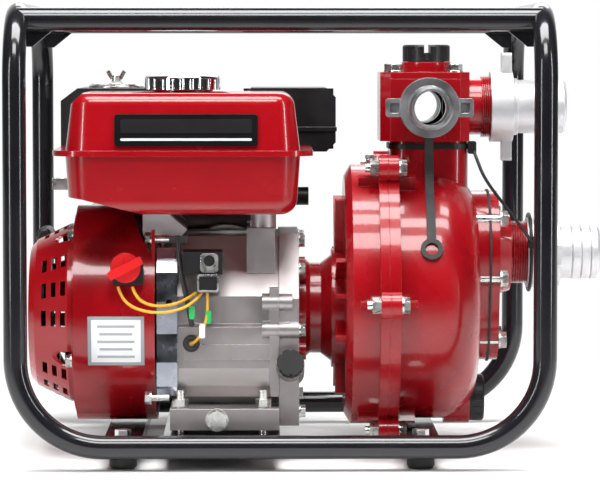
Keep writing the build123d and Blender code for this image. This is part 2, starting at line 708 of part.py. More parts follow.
def cleaner_outline(x0, x1, inset):
    """The air cleaner's faceted outline in X and Z."""
    corners = [(x0 + inset, 276 + inset), (x1 - inset, 276 + inset), (x1 - inset, 341 - inset)]
    return corners + [(x0 + 16 + inset, 341 - inset), (x0 + inset, 329 - inset)]


def air_cleaner_case():
    x0, x1 = CLEANER_X
    case = plate_xz(cleaner_outline(x0, x1, 0), *CLEANER_Y)
    case -= plate_xz(cleaner_outline(x0, x1, 2.5), CLEANER_Y[0] + 2.5, CLEANER_Y[1] - 2.5)
    case += block((-156, -130), (100, 132), (236, 277))
    case -= rod_z(230, 280, -143, 116, 9)
    case += rod_z(277, 340.9, WING_NUT_X, WING_NUT_Y, 5)
    return largest(case)


def air_cleaner_lid():
    """The domed lid held down by the wing nut."""
    profile = [(0, 341), (27, 341), (27, 342.5), (24.5, 344.5), (14, 346.5), (0, 347)]
    return turned_z(profile, WING_NUT_X, WING_NUT_Y)


def lid_wing_nut():
    nut = rod_z(347.1, 353, WING_NUT_X, WING_NUT_Y, 4.5)
    for side in (-1, 1):
        wing = Pos(WING_NUT_X + side * 6, WING_NUT_Y, 353.5) * Rot(0, side * 30, 0) * Box(4, 2.5, 9)
        nut += wing
    return nut


def carburettor():
    """The carburettor between the air cleaner's elbow and the head, with its float bowl."""
    body = block((-152, -125.1), (100, 132), (196, 235.5))
    body += rod_z(166, 197, -138.5, 116, 13)
    body -= rod_z(220, 236, -143, 116, 9)
    body += rod_x(-158, -151, CHOKE_Y, CHOKE_Z, 2)
    body += rod_x(-160, -151, VALVE_Y, VALVE_Z, 2)
    return largest(body)


def throttle_lever():
    """The throttle lever: a plated blade from its pivot to the tab over the starter."""
    blade = block((-244, -160), (26, 44), (247, 249))
    blade += rod_z(247, 249, -160, 35, 11)
    blade += block((-244, -228), (24, 46), (244, 255))
    blade -= rod_z(240, 260, -160, 35, 4 + RUN_GAP)
    return largest(blade)


def control_bracket():
    """The black bracket that carries the throttle lever on top of the fan housing."""
    bracket = block((-190, -146), (22, 48), (243, 246.9))
    bracket += block((-190, -186), (22, 48), (232.05, 246.9))
    bracket += block((-150, -146), (22, 48), (232.05, 246.9))
    bracket += rod_z(244, 252, -160, 35, 4)
    return bracket


def choke_lever():
    lever = rod_x(-163, -152.1, CHOKE_Y, CHOKE_Z, 6)
    lever += block((-164, -160), (CHOKE_Y - 3, CHOKE_Y + 32), (CHOKE_Z - 4, CHOKE_Z + 4))
    return lever - rod_x(-159, -150, CHOKE_Y, CHOKE_Z, 2 + RUN_GAP)


def fuel_valve_lever():
    lever = rod_x(-165, -152.1, VALVE_Y, VALVE_Z, 7)
    lever += block((-168, -163), (VALVE_Y - 4, VALVE_Y + 4), (VALVE_Z - 22, VALVE_Z + 6))
    return lever - rod_x(-161, -150, VALVE_Y, VALVE_Z, 2 + RUN_GAP)


def switch_base():
    """The plate and barrel of the engine switch on the fan housing's front."""
    front = SWITCH_FRONT_Y
    base = block((SWITCH_X - 12, SWITCH_X + 16), (front + 1.5, front + 4), (SWITCH_Z - 16, SWITCH_Z + 9))
    base += rod_y(front + 2, front + 9, SWITCH_X, SWITCH_Z, 11)
    base += rod_y(front - 4, front + 3, SWITCH_X, SWITCH_Z, 3)
    return base


def switch_knob():
    """The round red knob with a bar grip across it."""
    front = SWITCH_FRONT_Y
    knob = rod_y(front - 6, front + 1.4, SWITCH_X, SWITCH_Z, 13.6)
    bar = Pos(SWITCH_X, front - 9, SWITCH_Z) * Rot(0, -27, 0) * Box(34, 7, 8)
    knob += fillet(bar.edges().filter_by(Axis.Y), 2)
    knob -= rod_y(front - 4.5, front + 2, SWITCH_X, SWITCH_Z, 3 + RUN_GAP)
    return largest(knob)


def oil_alert_unit():
    """The low-oil module hanging from its folded bracket on the crankcase."""
    unit = block((-102, -82), (-136, -118), (157.6, 174))
    unit += block((-115, -79), (-131, -128), (173.5, 194))
    unit += block((-115, -79), (-131, -90.5), (191, 194))
    unit += along((0, -1, 0), (-91, -131, 186)) * Cylinder(5, 3, align=(Align.CENTER, Align.CENTER, Align.MIN))
    return unit


def engine_wires():
    """Leads of the switch, the low-oil module and the oil level sensor."""
    leads = [
        (1.4, [(-174, -131, 162), (-171, -135, 153), (-162, -137, 144.5), (-149, -138.5, 140),
               (-134, -140, 139), (-119, -140.5, 141.5), (-106, -136, 147.5), (-98, -129, 156.4)]),
        (1.5, [(-161, -131, 162), (-158, -134, 153.5), (-149, -136, 147), (-137, -136.5, 144.5),
               (-124, -135, 146), (-112, -131, 150.5), (-103, -125, 156.4)]),
        (2.4, [(-120, -118, 208), (-119, -122, 190), (-116, -125, 172), (-111, -124, 148),
               (-107, -121, 126)]),
        (1.4, [(-93, -127, 156.5), (-92, -128, 140), (-96, -129, 124), (-103, -126, 111),
               (-108, -117.5, 109)]),
    ]
    wires = []
    for radius, route in leads:
        path = tube_path(route, route_radii(route))
        wires.append(swept_tube(path, radius))
    return Compound(children=wires)


def route_radii(route):
    """The largest smooth arc at each bend of a route: 0.45 of the shorter run each side."""
    radii = []
    for a, b, c in zip(route, route[1:], route[2:]):
        first = Vector(*b) - Vector(*a)
        second = Vector(*c) - Vector(*b)
        turn = math.radians(first.get_angle(second))
        radii.append(0.45 * min(first.length, second.length) / math.tan(turn / 2))
    return radii


# ----------------------------------------------------------------- pump


def pump_adapter():
    """The cast neck that joins the engine's cover to the pump's back."""
    neck = [(SIDE_COVER_X, 46), (-2, 46), (2, 42.5), (12, 42.5), (22, 50), (22, 30), (SIDE_COVER_X, 30)]
    body = turned_x(neck, CRANK_Y, CRANK_Z)
    for angle, y, z in around(4, 52, CRANK_Y, CRANK_Z, 45):
        body += rod_x(SIDE_COVER_X, -2, y, z, 9)
    return largest(body)


def flange_ring(x0, x1):
    """The six-eared flange that both halves of the casing share."""
    ring = rod_x(x0, x1, CRANK_Y, PUMP_Z, FLANGE_RIM_R)
    for angle, y, z in around(6, FLANGE_BOLT_R, CRANK_Y, PUMP_Z):
        ring += rod_x(x0, x1, y, z, 12)
    return ring


def flange_holes():
    return joined([rod_x(45, 95, y, z, 4.01) for angle, y, z in around(6, FLANGE_BOLT_R, CRANK_Y, PUMP_Z)])


def pump_back_cover():
    """The casing's engine-side half, with ribs and a seat for the shaft seal."""
    back = turned_x([(34, 0), (34, 112), (40, 122), (65, 122), (65, 0)], CRANK_Y, PUMP_Z)
    back += flange_ring(64.5, JOINT_X)
    back += rod_x(22, 36, CRANK_Y, CRANK_Z, 56)
    for z in (CRANK_Z - 20, CRANK_Z + 18):
        back += block((24, 36), (CRANK_Y - 96, CRANK_Y + 96), (z - 2, z + 2))
    for turn in range(0, 180, 45):
        back += Pos(30.5, CRANK_Y, PUMP_Z) * Rot(turn + 22.5, 0, 0) * Box(11, 4, 196)
    for angle, y, z in around(6, FLANGE_BOLT_R - 15, CRANK_Y, PUMP_Z):
        web = Pos(56, y, z) * Rot(angle, 0, 0) * Box(20, 12, 5)
        back += web
    back -= rod_x(38, JOINT_X + 1, CRANK_Y, PUMP_Z, 114)
    back -= rod_x(0, 39, CRANK_Y, CRANK_Z, SHAFT_R + 12)
    back -= turned_x([(20, 0), (20, 26), (27, 26), (27, 0)], CRANK_Y, CRANK_Z)
    back -= flange_holes()
    return largest(back)


def impeller():
    """The open impeller: a disc with a hub and six swept vanes."""
    profile = [(50, SHAFT_R), (50, 72), (54, 72), (54, 18), (90, 16), (90, SHAFT_R)]
    wheel = turned_x(profile, CRANK_Y, CRANK_Z)
    for i in range(6):
        vane = Box(18, 4, 44)
        vane = Pos(62, 0, 0) * Pos(0, -14, 46) * Rot(-35, 0, 0) * vane
        wheel += Pos(0, CRANK_Y, CRANK_Z) * Rot(60 * i, 0, 0) * vane
    return largest(wheel)


def bowl(shrink, x0):
    """The casing's bowl: a drum that rounds off towards the suction side."""
    r = BOWL_R - shrink
    end = BOWL_END_X - shrink
    body = rod_x(x0, end, CRANK_Y, PUMP_Z, r)
    return fillet(body.edges().group_by(Axis.X)[-1], 38 - shrink)


def pump_casing():
    """The casing casting: flange, bowl, suction face, delivery neck and drain boss."""
    casing = bowl(0, JOINT_X + 0.1) + flange_ring(JOINT_X + 0.1, 83)
    for angle, y, z in around(6, FLANGE_BOLT_R - 17.5, CRANK_Y, PUMP_Z):
        web = Pos(90, y, z) * Rot(angle, 0, 0) * Box(16.6, 18, 5)
        casing += web
    face = suction_outline(BOWL_END_X - 40, SUCTION_FACE_X, 0)
    casing += face
    neck = block((76.5, BOX_X[1] - 0.5), (NECK_Y - 38, NECK_Y + 38), (PUMP_Z + 80, BOX_Z[0]))
    casing += fillet(neck.edges().filter_by(Axis.Z), 18)
    casing += rod_x(128, 152, CRANK_Y, DRAIN_Z, 24)
    casing += block((112, 150), (CRANK_Y - 19, CRANK_Y + 19), (32.5, 60))
    casing -= bowl(6, JOINT_X - 1)
    casing -= rod_z(PUMP_Z + 60, 295, NECK_X, NECK_Y, 30)
    casing -= rod_x(130, SUCTION_FACE_X + 1, CRANK_Y, SUCTION_Z, 27)
    casing -= rod_x(120, 153, CRANK_Y, DRAIN_Z, 16)
    casing -= rod_x(151.8, 170, CRANK_Y, DRAIN_Z, 22.6)
    casing -= flange_holes()
    for y, z in suction_bolt_places():
        casing -= rod_x(150, SUCTION_FACE_X + 1, y, z, 4.01)
    return largest(casing)


def suction_outline(x0, x1, grow):
    """The pear-shaped suction flange: a small lower circle and a large upper one."""
    top = rod_x(x0, x1, CRANK_Y, SUCTION_Z, 58 + grow)
    low = rod_x(x0, x1, CRANK_Y, 128, 42 + grow)
    web = plate_yz(
        [(-88 - grow, 187), (28 + grow, 187), (12 + grow, 128), (-72 - grow, 128)],
        x0,
        x1,
    )
    return top + low + web


def suction_bolt_places():
    """(y, z) of the six bolts, in pairs about the crank's plane."""
    pairs = ((46, 221), (51, 166), (32, 107))
    return [(CRANK_Y + side * off, z) for off, z in pairs for side in (-1, 1)]


def pump_seals():
    """The sheet under the suction cover, the ring in the casing's joint and the shaft seal."""
    sheet = suction_outline(SUCTION_FACE_X, SUCTION_FACE_X + 2, 1.5)
    sheet -= rod_x(SUCTION_FACE_X - 1, SUCTION_FACE_X + 3, CRANK_Y, SUCTION_Z, 27)
    for y, z in suction_bolt_places():
        sheet -= rod_x(SUCTION_FACE_X - 1, SUCTION_FACE_X + 3, y, z, 4.01)
    ring = turned_x([(73.0, 117.4), (73.0, 124), (73.1, 124), (73.1, 117.4)], CRANK_Y, PUMP_Z)
    seal = rod_x(28, 38, CRANK_Y, CRANK_Z, SHAFT_R + 12)
    seal -= rod_x(27, 39, CRANK_Y, CRANK_Z, SHAFT_R + RUN_GAP)
    return Compound(children=[sheet, ring, seal])


def suction_cover():
    """The suction cover with its ribbed boss and threaded port."""
    x0 = SUCTION_FACE_X + 2
    cover = suction_outline(x0, x0 + 8, 0)
    cover += turned_x([(x0, 0), (x0, 44), (x0 + 8, 40), (190, 36), (190, 0)], CRANK_Y, SUCTION_Z)
    thread = [(188, 0), (188, 27.6)]
    for i in range(9):
        x = 192 + 2.3 * i
        thread += [(x, 27.6), (x + 0.6, G2_R - 0.4), (x + 1.5, G2_R - 0.4), (x + 2.1, 27.6)]
    thread += [(213.6, 27.6), (213.6, 0)]
    cover += turned_x(thread, CRANK_Y, SUCTION_Z)
    cover -= rod_x(x0 - 1, 215, CRANK_Y, SUCTION_Z, 23)
    for y, z in suction_bolt_places():
        cover -= rod_x(x0 - 1, x0 + 30, y, z, 4.01)
        cover -= rod_x(x0 + 8, x0 + 30, y, z, 9)
    return largest(cover)


def check_flap():
    """The suction check flap: a weighted disc on a pin, which swings open into the casing."""
    flap = rod_x(150, 154, CRANK_Y, SUCTION_Z, 25.5)
    flap += rod_x(146, 150.1, CRANK_Y, SUCTION_Z, 14)
    flap += rod_y(CRANK_Y - 7, CRANK_Y + 7, 150, FLAP_PIN_Z, 1.5)
    return flap


def drain_cap():
    """The drain cap with a coin slot across its face."""
    cap = rod_x(152.2, 166, CRANK_Y, DRAIN_Z, 22)
    cap = chamfer(cap.edges().group_by(Axis.X)[-1], 1.5)
    for angle, y, z in around(20, 22.6, CRANK_Y, DRAIN_Z):
        cap -= rod_x(155, 164, y, z, 1.4)
    cap -= block((162, 170), (CRANK_Y - 14, CRANK_Y + 14), (DRAIN_Z - 3, DRAIN_Z + 3))
    cap += rod_x(140, 153, CRANK_Y, DRAIN_Z, 15.9)
    return cap


def discharge_box():
    """The delivery box: inlet below, fill neck above, and outlets to three sides."""
    outer = block(BOX_X, (NECK_Y - BOX_HALF_Y, NECK_Y + BOX_HALF_Y), BOX_Z)
    outer = chamfer(outer.edges().filter_by(Axis.Z), 9)
    inner = block(
        (BOX_X[0] + 5, BOX_X[1] - 5),
        (NECK_Y - BOX_HALF_Y + 5, NECK_Y + BOX_HALF_Y - 5),
        (BOX_Z[0] + 5, BOX_Z[1] + 1),
    )
    body = outer - inner
    body += rod_x(BOX_X[1] - 5, 162.5, NECK_Y, OUTLET_Z, 26.3)
    body += threaded_end(162.5, 172, 26.6)
    for side in (-1, 1):
        face = NECK_Y + side * BOX_HALF_Y
        body += rod_y(face - side * 5, face + side * 10, NECK_X, OUTLET_Z, 22.5)
        body -= rod_y(NECK_Y, face + side * 30, NECK_X, OUTLET_Z, 16)
    body -= rod_x(NECK_X, 174, NECK_Y, OUTLET_Z, 21)
    body -= rod_z(BOX_Z[0] - 1, BOX_Z[0] + 6, NECK_X, NECK_Y, 30)
    for x, y in box_bolt_places():
        pillar = rod_z(BOX_Z[0] + 4, BOX_Z[1], x, y, 7.5)
        body += pillar - block((BOX_X[1] + 0.1, 200), (-200, 200), (200, 400))
        body -= rod_z(BOX_Z[1] - 22, BOX_Z[1] + 1, x, y, 4.01)
    return largest(body)


def threaded_end(x0, x1, r):
    """An outlet thread drawn as ridges about the end outlet's axis."""
    points = [(x0, 0), (x0, r)]
    pitch = (x1 - x0) / 5
    for i in range(5):
        x = x0 + pitch * i
        points += [(x + 0.2 * pitch, r + 2.4), (x + 0.6 * pitch, r + 2.4), (x + 0.95 * pitch, r)]
    points += [(x1, 0)]
    return turned_x(points, NECK_Y, OUTLET_Z)


def box_bolt_places():
    return [(x, y) for x in (BOX_X[0] + 14, BOX_X[1] - 14) for y in (NECK_Y - 34, NECK_Y + 34)]


def box_cover():
    """The lid of the delivery box with its fill neck."""
    lid = block(BOX_X, (NECK_Y - BOX_HALF_Y, NECK_Y + BOX_HALF_Y), (BOX_Z[1], BOX_Z[1] + 6))
    lid = chamfer(lid.edges().filter_by(Axis.Z), 9)
    lid += rod_z(BOX_Z[1] + 5, 366.4, NECK_X, NECK_Y, 23)
    lid -= rod_z(BOX_Z[1] - 1, 368, NECK_X, NECK_Y, 17)
    for x, y in box_bolt_places():
        lid -= rod_z(BOX_Z[1] - 1, BOX_Z[1] + 7, x, y, 4.01)
    return lid


def priming_cap():
    """The priming cap with a coin slot across its top."""
    cap = rod_z(366.6, 382.5, NECK_X, NECK_Y, 22.2)
    cap = chamfer(cap.edges().group_by(Axis.Z)[-1], 1.5)
    for i in range(20):
        a = math.radians(18 * i)
        cap -= rod_z(369, 380, NECK_X + 22.8 * math.cos(a), NECK_Y + 22.8 * math.sin(a), 1.4)
    cap -= block((NECK_X - 3, NECK_X + 3), (NECK_Y - 30, NECK_Y + 30), (375, 390))
    cap += rod_z(352, 367, NECK_X, NECK_Y, 16.9)
    return cap


def pump_bolts():
    """M8 flange bolts: casing joint, suction cover and delivery box lid."""
    bolts = []
    for angle, y, z in around(6, FLANGE_BOLT_R, CRANK_Y, PUMP_Z):
        bolts.append(along((1, 0, 0), (83, y, z)) * flange_bolt(8, 31, 13))
        nut = along((-1, 0, 0), (64.5, y, z)) * hexagon_rod(8, 13)
        bolts[-1] += nut
    for y, z in suction_bolt_places():
        bolts.append(along((1, 0, 0), (SUCTION_FACE_X + 10, y, z)) * flange_bolt(8, 26, 13))
    for x, y in box_bolt_places():
        bolts.append(Pos(x, y, BOX_Z[1] + 6) * flange_bolt(8, 24, 13))
    return Compound(children=bolts)


# ------------------------------------------------------------- fittings


def pocketed_wing(span, height, thick):
    """Two lugs across a nut, each with a pocket in its face. The nut's axis is Z."""
    wings = Box(span, height, thick)
    for side in (-1, 1):
        pocket = Pos(side * (span / 2 - 8), 0, thick / 2) * Box(9, height - 7, thick * 0.7)
        wings -= pocket
    return fillet(wings.edges().filter_by(Axis.Z), 2.4)


def union_nut(length, outer_r, inner_r, collar_r, span, height, thick):
    """A winged union nut along +Z: it turns on the tail's collar."""
    nut = Cylinder(outer_r, length, align=(Align.CENTER, Align.CENTER, Align.MIN))
    nut += Pos(0, 0, length - thick / 2 - 1) * pocketed_wing(span, height, thick)
    nut -= Pos(0, 0, -1) * Cylinder(
        inner_r, length - 2.5, align=(Align.CENTER, Align.CENTER, Align.MIN)
    )
    nut -= Cylinder(collar_r, 3 * length, align=(Align.CENTER, Align.CENTER, Align.MIN))
    return nut


def suction_nut():
    nut = union_nut(30, 33, G2_R + 0.1, TAIL_2_R + TAIL_STEP + RUN_GAP, 101, 22, 9)
    return along((1, 0, 0), (206, CRANK_Y, SUCTION_Z)) * Rot(0, 0, 90) * nut


def end_nut():
    nut = union_nut(21, 33, 29.2, TAIL_2_R + RUN_GAP, 22, 101, 9)
    return along((1, 0, 0), (171.4, NECK_Y, OUTLET_Z)) * Rot(0, 0, 90) * nut


def side_nut(side):
    nut = union_nut(21, 27.7, 25.2, TAIL_1_R + TAIL_STEP + RUN_GAP, 81, 17, 9)
    face = NECK_Y + side * (BOX_HALF_Y + 3)
    place = Plane(origin=(NECK_X, face, OUTLET_Z), x_dir=(1, 0, 0), z_dir=(0, side, 0))
    return Location(place) * nut


def suction_tail():
    """The two-inch hose tail with hose grooves, held by its collar in the union nut."""
    land = TAIL_2_R + TAIL_STEP
    points = [(214, TAIL_2_BORE_R), (214, 29), (231, 29), (231, land), (237, land)]
    points += [(237, TAIL_2_R), (246, TAIL_2_R)]
    for x in (247.2, 255.9, 264.7):
        points += [(x, TAIL_2_R), (x + 0.8, TAIL_2_R - 1.4), (x + 1.6, TAIL_2_R)]
    points += [(271.8, TAIL_2_R), (274.3, TAIL_2_R - 2.5), (274.3, TAIL_2_BORE_R)]
    return turned_x(points, CRANK_Y, SUCTION_Z)


def end_tail():
    """The smooth two-inch delivery tail with a rounded lip."""
    points = [(172.2, TAIL_2_BORE_R), (172.2, 28.8), (188.8, 28.8), (188.8, TAIL_2_R), (192.6, TAIL_2_R)]
    points += [(192.6, TAIL_2_R + 1.6), (196.6, TAIL_2_R + 1.6), (196.6, TAIL_2_R)]
    points += [(239.5, TAIL_2_R), (242, TAIL_2_R - 2), (242, TAIL_2_BORE_R)]
    return turned_x(points, NECK_Y, OUTLET_Z)


def side_tails():
    """The two inch-and-a-half tails, one to the front and one to the rear."""
    land = TAIL_1_R + TAIL_STEP
    profile = [(0.2, TAIL_1_BORE_R), (0.2, 24.6), (10.2, 24.6), (10.2, land), (14.5, land)]
    profile += [(14.5, TAIL_1_R), (44.5, TAIL_1_R), (47, TAIL_1_R - 2), (47, TAIL_1_BORE_R)]
    tails = []
    for side in (-1, 1):
        tail = turned_z([(r, d) for d, r in profile], 0, 0)
        origin = (NECK_X, NECK_Y + side * (BOX_HALF_Y + 10), OUTLET_Z)
        tails.append(along((0, side, 0), origin) * tail)
    return Compound(children=tails)


def bowl_spot(angle, r):
    """A (y, z) point on the bowl's front at an angle above the horizontal."""
    a = math.radians(angle)
    return CRANK_Y - r * math.cos(a), PUMP_Z + r * math.sin(a)


def rubber_strap():
    """The flat strap that hangs from the front outlet, with a ring that lies on the bowl."""
    rest_r = BOWL_R + 1.7
    ring_angle = 24.2
    route = [bowl_spot(angle, rest_r) for angle in range(28, 56, 3)]
    route += [(-89, 262), (-83, 280), (-81, 296.4)]
    band = plate_yz(ribbon(route, 2.2), NECK_X - 4, NECK_X + 4)
    a = math.radians(ring_angle)
    ring = Cylinder(10.2, 3) - Cylinder(5.9, 4)
    y, z = bowl_spot(ring_angle, rest_r)
    return largest(band + along((0, -math.cos(a), math.sin(a)), (NECK_X, y, z)) * ring)


LANYARD_ROUTE = [
    (154, -60, 285),
    (157, -68, 276),
    (162, -74, 262),
    (171, -78, 248),
    (182, -79.5, 234),
    (193, -78, 220),
    (202, -73.5, 208),
    (208, -67.5, 200),
]


def lanyard_cord():
    """The tether from the neck's band to the suction union."""
    path = tube_path(LANYARD_ROUTE, route_radii(LANYARD_ROUTE))
    cord = swept_tube(path, 1.5)
    ratio = cord.volume / (math.pi * 1.5**2 * path.length)
    print("lanyard length", round(path.length, 1), "volume ratio", round(ratio, 4))
    print("lanyard radii", [round(r, 1) for r in route_radii(LANYARD_ROUTE)])
    return cord


def make_parts():
    arches = arch_hole()
    return {
        "frame_front_hoop": frame_hoop(-1),
        "frame_rear_hoop": frame_hoop(1),
        "frame_top_bars": top_bars(arches),
        "cross_plates": cross_plates(),
        "engine_mount_plate": engine_mount_plate(),
        "rubber_feet": rubber_feet(),
        "base_bolts": base_bolts(),
        "crankcase": crankcase(),
        "side_cover": side_cover(),
        "cylinder_head": cylinder_head(),
        "rocker_cover": rocker_cover(),
        "spark_plug": spark_plug(),
        "piston": piston(),
        "crankshaft": crankshaft(),
        "flywheel": flywheel(),
        "oil_dipstick": oil_dipstick(),
        "oil_drain_plug": oil_drain_plug(),
        "engine_bolts": engine_bolts(),
        "blower_housing": blower_housing(),
        "recoil_cover": recoil_cover(),
        "recoil_pulley": recoil_pulley(),
        "starter_grip": starter_grip(),
        "side_plate": side_plate(),
        "tank_posts": tank_posts(),
        "fuel_tank": fuel_tank(),
        "fuel_cap": fuel_cap(),
        "muffler": muffler(),
        "air_cleaner_case": air_cleaner_case(),
        "air_cleaner_lid": air_cleaner_lid(),
        "lid_wing_nut": lid_wing_nut(),
        "carburettor": carburettor(),
        "control_bracket": control_bracket(),
        "throttle_lever": throttle_lever(),
        "choke_lever": choke_lever(),
        "fuel_valve_lever": fuel_valve_lever(),
        "switch_base": switch_base(),
        "switch_knob": switch_knob(),
        "oil_alert_unit": oil_alert_unit(),
        "engine_wires": engine_wires(),
        "pump_adapter": pump_adapter(),
        "pump_back_cover": pump_back_cover(),
        "impeller": impeller(),
        "pump_casing": pump_casing(),
        "pump_seals": pump_seals(),
        "suction_cover": suction_cover(),
        "check_flap": check_flap(),
        "drain_cap": drain_cap(),
        "discharge_box": discharge_box(),
        "box_cover": box_cover(),
        "priming_cap": priming_cap(),
        "pump_bolts": pump_bolts(),
        "suction_nut": suction_nut(),
        "suction_tail": suction_tail(),
        "end_nut": end_nut(),
        "end_tail": end_tail(),
        "front_nut": side_nut(-1),
        "rear_nut": side_nut(1),
        "side_tails": side_tails(),
        "rubber_strap": rubber_strap(),
        "lanyard_cord": lanyard_cord(),
    }


os.makedirs("parts", exist_ok=True)
for name, shape in make_parts().items():
    export_step(shape, f"parts/{name}.step")
    print(name, len(shape.solids()), round(shape.volume))
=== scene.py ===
import json
import math

import bmesh
import bpy
from mathutils import Matrix, Vector


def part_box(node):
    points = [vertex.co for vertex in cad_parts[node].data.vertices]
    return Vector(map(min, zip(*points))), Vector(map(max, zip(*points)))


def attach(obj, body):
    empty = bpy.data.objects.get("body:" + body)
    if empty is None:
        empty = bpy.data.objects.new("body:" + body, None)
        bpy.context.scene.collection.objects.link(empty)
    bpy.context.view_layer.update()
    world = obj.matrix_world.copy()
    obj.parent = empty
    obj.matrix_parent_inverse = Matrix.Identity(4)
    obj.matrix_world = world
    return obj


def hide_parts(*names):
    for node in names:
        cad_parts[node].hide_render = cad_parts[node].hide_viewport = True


# A portable fire pump: materials for every CAD piece, and the soft, thin and printed
# pieces that CAD leaves plain. Metres, in the CAD's frame.

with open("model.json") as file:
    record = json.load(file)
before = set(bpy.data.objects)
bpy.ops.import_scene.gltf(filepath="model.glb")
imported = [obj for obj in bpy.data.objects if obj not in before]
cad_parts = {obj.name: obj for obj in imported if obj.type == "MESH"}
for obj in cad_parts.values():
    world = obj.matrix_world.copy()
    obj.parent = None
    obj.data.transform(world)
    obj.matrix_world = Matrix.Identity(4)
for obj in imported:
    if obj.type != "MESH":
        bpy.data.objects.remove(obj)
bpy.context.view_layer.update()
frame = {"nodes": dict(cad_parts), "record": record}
NODES = frame["nodes"]
MAIN = "pump_set"
MM = 0.001

# ------------------------------------------------------------ materials


def principled(name):
    """A new node material, its node tree and its shader."""
    made = bpy.data.materials.new(name)
    made.use_nodes = True
    tree = made.node_tree
    return made, tree, tree.nodes["Principled BSDF"]


def noise(tree, coords, scale, detail=3.0, rough=0.55, stretch=(1, 1, 1)):
    mapping = tree.nodes.new("ShaderNodeMapping")
    mapping.inputs["Scale"].default_value = stretch
    texture = tree.nodes.new("ShaderNodeTexNoise")
    texture.inputs["Scale"].default_value = scale
    texture.inputs["Detail"].default_value = detail
    texture.inputs["Roughness"].default_value = rough
    tree.links.new(coords, mapping.inputs["Vector"])
    tree.links.new(mapping.outputs["Vector"], texture.inputs["Vector"])
    return texture.outputs["Fac"]


def mixed(tree, factor, low, high):
    """A colour between two colours, or between a socket and a colour."""
    mix = tree.nodes.new("ShaderNodeMix")
    mix.data_type = "RGBA"
    tree.links.new(factor, mix.inputs["Factor"])
    for socket, value in ((mix.inputs[6], low), (mix.inputs[7], high)):
        if isinstance(value, tuple):
            socket.default_value = (*value, 1)
        else:
            tree.links.new(value, socket)
    return mix.outputs[2]


def ranged(tree, value, from_low, from_high, low, high):
    node = tree.nodes.new("ShaderNodeMapRange")
    for key, number in (
        ("From Min", from_low),
        ("From Max", from_high),
        ("To Min", low),
        ("To Max", high),
    ):
        node.inputs[key].default_value = number
    tree.links.new(value, node.inputs["Value"])
    return node.outputs["Result"]


def product(tree, a, b):
    node = tree.nodes.new("ShaderNodeMath")
    node.operation = "MULTIPLY"
    tree.links.new(a, node.inputs[0])
    tree.links.new(b, node.inputs[1])
    return node.outputs["Value"]


def edge_mask(tree, bevel):
    """1 along sharp edges and 0 on flats: how far the rounded normal leaves the true one."""
    geometry = tree.nodes.new("ShaderNodeNewGeometry")
    dot = tree.nodes.new("ShaderNodeVectorMath")
    dot.operation = "DOT_PRODUCT"
    tree.links.new(bevel, dot.inputs[0])
    tree.links.new(geometry.outputs["Normal"], dot.inputs[1])
    return ranged(tree, dot.outputs["Value"], 0.86, 0.99, 1.0, 0.0)


def finish_material(
    name,
    color,
    rough,
    metallic=0.0,
    coat=0.0,
    mottle=0.12,
    mottle_scale=25.0,
    grain_mm=1.0,
    bump_mm=0.02,
    rough_vary=0.08,
    edge_mm=0.7,
    wear_and_highlight_color=None,
    wear_and_highlight_amount=0.35,
    stretch=(1, 1, 1),
    dark=0.7,
    specular=0.5,
):
    """A surface with mottled colour, uneven gloss, a grain and rounded edges, lightened where an edge
    colour is given: partly wear, partly a painted edge highlight.
    """
    made, tree, shader = principled(name)
    coords = tree.nodes.new("ShaderNodeTexCoord").outputs["Object"]
    cloud = noise(tree, coords, mottle_scale, 4.0)
    grain = noise(tree, coords, 1000.0 / grain_mm, 2.0, 0.6, stretch)
    shade = tuple(dark * c for c in color)
    spread = ranged(tree, cloud, 0.3, 0.7, 0.5 - mottle * 2, 0.5 + mottle * 2)
    light = tuple(min(1.0, c * (2 - dark)) for c in color)
    base = mixed(tree, spread, shade, light)
    bevel = tree.nodes.new("ShaderNodeBevel")
    bevel.samples = 4
    bevel.inputs["Radius"].default_value = edge_mm * MM
    # Lighter colour along the edges, broken up by chips: partly wear, partly a painted edge highlight.
    if wear_and_highlight_color:
        chips_and_highlight = ranged(tree, noise(tree, coords, 260.0, 4.0), 0.42, 0.62, 0.0, wear_and_highlight_amount)
        base = mixed(tree, product(tree, edge_mask(tree, bevel.outputs["Normal"]), chips_and_highlight), base, wear_and_highlight_color)
    tree.links.new(base, shader.inputs["Base Color"])
    gloss = ranged(tree, cloud, 0.3, 0.7, max(0.02, rough - rough_vary), min(1.0, rough + rough_vary))
    tree.links.new(gloss, shader.inputs["Roughness"])
    shader.inputs["Metallic"].default_value = metallic
    shader.inputs["Specular IOR Level"].default_value = specular
    shader.inputs["Coat Weight"].default_value = coat
    shader.inputs["Coat Roughness"].default_value = 0.06
    bump = tree.nodes.new("ShaderNodeBump")
    bump.inputs["Strength"].default_value = 1.0
    bump.inputs["Distance"].default_value = bump_mm * MM
    tree.links.new(grain, bump.inputs["Height"])
    tree.links.new(bevel.outputs["Normal"], bump.inputs["Normal"])
    tree.links.new(bump.outputs["Normal"], shader.inputs["Normal"])
    return made


# The lighter edge colours given below are partly wear and partly a painted edge highlight.
def red_paint():
    """Deep red stove enamel over cast or pressed metal, with a faint orange peel."""
    return finish_material(
        "red_enamel", (0.27, 0.0025, 0.006), 0.24, coat=0.5, specular=0.25, mottle=0.08, grain_mm=3.5,
        bump_mm=0.035, rough_vary=0.05, wear_and_highlight_color=(0.52, 0.05, 0.05), wear_and_highlight_amount=0.5, dark=0.86,
    )


def red_cast_paint():
    """The same enamel over rougher sand castings."""
    return finish_material(
        "red_enamel_cast", (0.26, 0.0025, 0.006), 0.27, coat=0.45, specular=0.25, mottle=0.1, grain_mm=2.2,
        bump_mm=0.10, rough_vary=0.07, edge_mm=1.2, wear_and_highlight_color=(0.50, 0.05, 0.05), wear_and_highlight_amount=0.5,
        dark=0.84,
    )


def frame_paint():
    return finish_material(
        "black_powder_coat", (0.008, 0.008, 0.010), 0.18, coat=0.35, specular=0.3, mottle=0.1, grain_mm=2.0,
        bump_mm=0.02, rough_vary=0.06, wear_and_highlight_color=(0.06, 0.06, 0.06), dark=0.8,
    )


